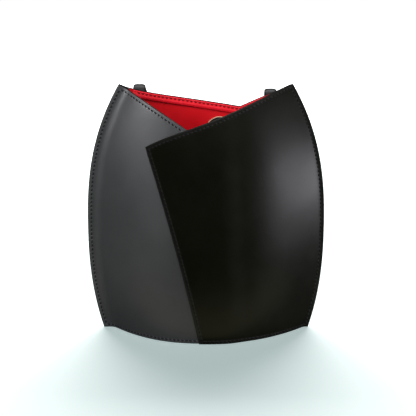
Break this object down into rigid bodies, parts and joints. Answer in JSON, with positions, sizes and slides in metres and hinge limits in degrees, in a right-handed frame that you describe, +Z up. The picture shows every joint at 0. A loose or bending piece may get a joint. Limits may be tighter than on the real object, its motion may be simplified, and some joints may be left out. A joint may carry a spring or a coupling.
{
  "type": "leather shoulder bag",
  "caption": "Stiff leather shoulder bag with two pointed tips, an overlapping wrapped front, a V-shaped mouth with a red lining, a magnetic snap and a stud-adjusted strap hanging behind.",
  "frame": {"origin": "on the ground, at the middle of the object's box in width and depth", "axes": "+Z up along the height, -Y towards the front with the overlap, +X to the right seen from the front"},
  "size_m": [0.27, 0.1156, 0.286],
  "materials": {
    "grey_black_leather": "fine-grained matt leather, softly worn",
    "black_leather": "smooth semi-matt leather",
    "strap_leather": "smooth leather, edges painted",
    "red_lining": "thin matt goat-skin lining",
    "red_facing": "smooth leather facing, stitched along its lower edge",
    "patch_leather": "smooth leather with a raw beige cut edge",
    "nickel": "polished nickel plate",
    "ferrite": "dark sintered magnet",
    "board": "pressed fibre board"
  },
  "bodies": {
    "bag": {"front_left_panel": "grey_black_leather", "front_right_panel": "black_leather", "back_panel": "black_leather", "base_panel": "black_leather", "base_board": "board", "base_lining": "red_lining", "front_lining": "red_lining", "back_lining": "red_lining", "front_facing": "red_facing", "back_facing": "red_facing", "front_snap_patch": "patch_leather", "back_snap_patch": "patch_leather", "front_snap_washer": "nickel", "back_snap_washer": "nickel", "snap_socket_case": "nickel", "snap_magnet": "ferrite", "snap_stud_plate": "nickel", "strap_end_left": "strap_leather", "strap_end_right": "strap_leather"},
    "strap": {"strap_long": "strap_leather", "strap_short": "strap_leather", "stud_head": "nickel", "stud_screw": "nickel", "keeper_fixed": "strap_leather"},
    "keeper": {"keeper_sliding": "strap_leather"}
  },
  "joints": [
    {"name": "strap_swing", "type": "hinge", "parent": "bag", "child": "strap", "pos_m": [-0.0011, 0.01775, 0.27655], "axis": [0.9993, 0.0108, -0.036], "range_deg": [0, 180], "deforming": ["strap_end_left", "strap_end_right"]},
    {"name": "keeper_slide", "type": "slide", "parent": "strap", "child": "keeper", "axis": [0, -0.0797, 0.9968], "range_m": [-0.01, 0.02]}
  ]
}
